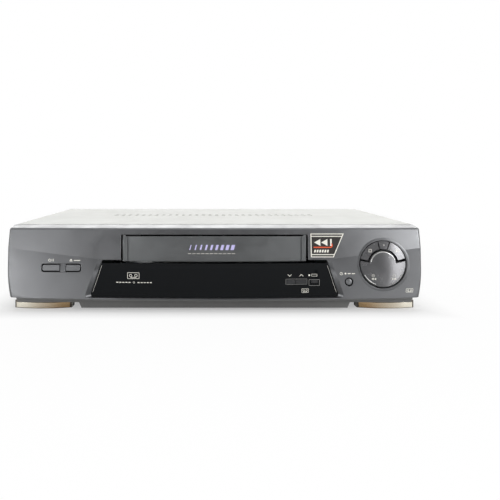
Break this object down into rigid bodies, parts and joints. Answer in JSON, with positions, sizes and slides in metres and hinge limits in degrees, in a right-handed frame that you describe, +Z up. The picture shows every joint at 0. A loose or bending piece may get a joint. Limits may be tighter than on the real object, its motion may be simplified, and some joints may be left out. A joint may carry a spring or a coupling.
{
  "type": "video cassette recorder",
  "caption": "Front-loading video cassette recorder with a bowed fascia, inward-swinging flap, black display window, segmented transport dial and a working tape deck inside.",
  "frame": {"origin": "on the floor under the middle of the outline", "axes": "+X to the right seen from the front, +Y from the front to the back, +Z up"},
  "size_m": [0.435, 0.29, 0.0897],
  "materials": {
    "fascia": "satin",
    "door": "satin",
    "button": "satin",
    "dial": "satin",
    "window": "gloss",
    "cover": "satin",
    "base": "matte",
    "foot": "matte",
    "gold": "satin",
    "steel": "satin",
    "drum": "polished",
    "brass": "satin",
    "black": "matte",
    "white": "matte",
    "rubber": "matte",
    "board": "matte",
    "glass": "gloss",
    "coil": "matte"
  },
  "bodies": {
    "cabinet": {"front_fascia": "fascia", "display_window": "window", "top_cover": "cover", "base_plinth": "base", "front_foot_left": "foot", "foot_trim_left": "gold", "rear_foot_left": "rubber", "loader_side_left": "steel", "front_foot_right": "foot", "foot_trim_right": "gold", "rear_foot_right": "rubber", "loader_side_right": "steel", "cover_screw_1": "steel", "cover_screw_2": "steel", "cover_screw_3": "steel", "cover_screw_4": "steel", "chassis_tray": "steel", "heat_sink": "steel", "tuner_module": "steel", "deck_plate": "steel", "loader_bridge": "steel", "loading_motor": "steel", "rear_panel": "black", "filter_capacitor": "black", "mains_inlet": "black", "scart_socket_1": "black", "scart_socket_2": "black", "audio_jack_block": "black", "capstan_stator": "black", "lower_drum": "drum", "audio_control_head": "drum", "erase_head": "drum", "front_board": "board", "main_board": "board", "display_tube": "glass", "mains_transformer": "coil"},
    "door": {"cassette_door": "door"},
    "power_key": {"power_button": "button"},
    "eject_key": {"eject_button": "button"},
    "timer_key": {"timer_button": "button"},
    "channel_down_key": {"channel_down_button": "button"},
    "channel_up_key": {"channel_up_button": "button"},
    "record_key": {"record_button": "button"},
    "stop_key": {"stop_button": "dial"},
    "pause_key": {"pause_button": "dial"},
    "play_key": {"play_button": "dial"},
    "shuttle": {"shuttle_disc": "dial"},
    "slider": {"carriage_slider": "steel"},
    "carriage": {"cassette_carriage": "steel"},
    "head_drum": {"upper_drum": "drum"},
    "capstan": {"capstan_rotor": "drum"},
    "pinch_lever": {"pinch_arm": "steel"},
    "pinch_wheel": {"pinch_roller": "rubber"},
    "supply_reel": {"supply_reel_table": "white"},
    "takeup_reel": {"takeup_reel_table": "white"},
    "supply_post": {"supply_guide": "brass"},
    "takeup_post": {"takeup_guide": "brass"},
    "cam": {"cam_gear": "white"},
    "pinion": {"loading_pinion": "white"},
    "tension_lever": {"tension_arm": "steel"}
  },
  "joints": [
    {"name": "door_hinge", "type": "hinge", "parent": "cabinet", "child": "door", "pos_m": [0, -0.1296, 0.0815], "axis": [1, 0, 0], "range_deg": [0, 97.4], "stiffness_Nm_per_rad": 0.02, "springref_deg": -17.19},
    {"name": "power_press", "type": "slide", "parent": "cabinet", "child": "power_key", "axis": [0, 1, 0], "range_m": [0, 0.0012], "stiffness_N_per_m": 400, "springref_m": -0.0004},
    {"name": "eject_press", "type": "slide", "parent": "cabinet", "child": "eject_key", "axis": [0, 1, 0], "range_m": [0, 0.0012], "stiffness_N_per_m": 400, "springref_m": -0.0004},
    {"name": "timer_press", "type": "slide", "parent": "cabinet", "child": "timer_key", "axis": [0, 1, 0], "range_m": [0, 0.0012], "stiffness_N_per_m": 400, "springref_m": -0.0004},
    {"name": "channel_down_press", "type": "slide", "parent": "cabinet", "child": "channel_down_key", "axis": [0, 1, 0], "range_m": [0, 0.0012], "stiffness_N_per_m": 400, "springref_m": -0.0004},
    {"name": "channel_up_press", "type": "slide", "parent": "cabinet", "child": "channel_up_key", "axis": [0, 1, 0], "range_m": [0, 0.0012], "stiffness_N_per_m": 400, "springref_m": -0.0004},
    {"name": "record_press", "type": "slide", "parent": "cabinet", "child": "record_key", "axis": [0, 1, 0], "range_m": [0, 0.0012], "stiffness_N_per_m": 400, "springref_m": -0.0004},
    {"name": "stop_press", "type": "slide", "parent": "cabinet", "child": "stop_key", "axis": [0, 1, 0], "range_m": [0, 0.0012], "stiffness_N_per_m": 400, "springref_m": -0.0004},
    {"name": "pause_press", "type": "slide", "parent": "cabinet", "child": "pause_key", "axis": [0, 1, 0], "range_m": [0, 0.0012], "stiffness_N_per_m": 400, "springref_m": -0.0004},
    {"name": "play_press", "type": "slide", "parent": "cabinet", "child": "play_key", "axis": [0, 1, 0], "range_m": [0, 0.0012], "stiffness_N_per_m": 400, "springref_m": -0.0004},
    {"name": "shuttle_rock", "type": "hinge", "parent": "cabinet", "child": "shuttle", "pos_m": [0.1769, -0.129, 0.0492], "axis": [0, 0, 1], "range_deg": [-2.5, 2.5], "stiffness_Nm_per_rad": 1.5},
    {"name": "slider_run", "type": "slide", "parent": "cabinet", "child": "slider", "axis": [0, 1, 0], "range_m": [0, 0.057]},
    {"name": "carriage_drop", "type": "slide", "parent": "slider", "child": "carriage", "axis": [0, 0, -1], "range_m": [0, 0.016]},
    {"name": "drum_spin", "type": "hinge", "parent": "cabinet", "child": "head_drum", "pos_m": [0, 0.092, 0.05], "axis": [0, 0, 1], "continuous": true},
    {"name": "capstan_spin", "type": "hinge", "parent": "cabinet", "child": "capstan", "pos_m": [0.044, 0.068, 0.03], "axis": [0, 0, 1], "continuous": true},
    {"name": "pinch_swing", "type": "hinge", "parent": "cabinet", "child": "pinch_lever", "pos_m": [0.074, 0.062, 0.029], "axis": [0, 0, -1], "range_deg": [0, 28]},
    {"name": "pinch_spin", "type": "hinge", "parent": "pinch_lever", "child": "pinch_wheel", "pos_m": [0.0544, 0.05201, 0.04], "axis": [0, 0, 1], "continuous": true},
    {"name": "supply_spin", "type": "hinge", "parent": "cabinet", "child": "supply_reel", "pos_m": [-0.0461, 0.008, 0.03], "axis": [0, 0, 1], "continuous": true},
    {"name": "takeup_spin", "type": "hinge", "parent": "cabinet", "child": "takeup_reel", "pos_m": [0.0461, 0.008, 0.03], "axis": [0, 0, 1], "continuous": true},
    {"name": "cam_turn", "type": "hinge", "parent": "cabinet", "child": "cam", "pos_m": [-0.066, 0.08, 0.029], "axis": [0, 0, 1], "range_deg": [0, 150]},
    {"name": "pinion_turn", "type": "hinge", "parent": "cabinet", "child": "pinion", "pos_m": [-0.066, 0.1043, 0.029], "axis": [0, 0, 1], "range_deg": [-451, 1]},
    {"name": "tension_swing", "type": "hinge", "parent": "cabinet", "child": "tension_lever", "pos_m": [-0.078, 0.036, 0.028], "axis": [0, 0, 1], "range_deg": [-8, 8], "stiffness_Nm_per_rad": 0.02},
    {"name": "supply_post_run", "type": "slide", "parent": "cabinet", "child": "supply_post", "axis": [-0.2747, 0.9615, 0], "range_m": [0, 0.02872]},
    {"name": "takeup_post_run", "type": "slide", "parent": "cabinet", "child": "takeup_post", "axis": [0.2095, 0.9778, 0], "range_m": [0, 0.02824]}
  ],
  "couplings": [
    {"joint": "pinion_turn", "follows": "cam_turn", "ratio": -3},
    {"joint": "supply_post_run", "follows": "cam_turn", "m_per_rad": 0.010894},
    {"joint": "takeup_post_run", "follows": "cam_turn", "m_per_rad": 0.010709}
  ]
}
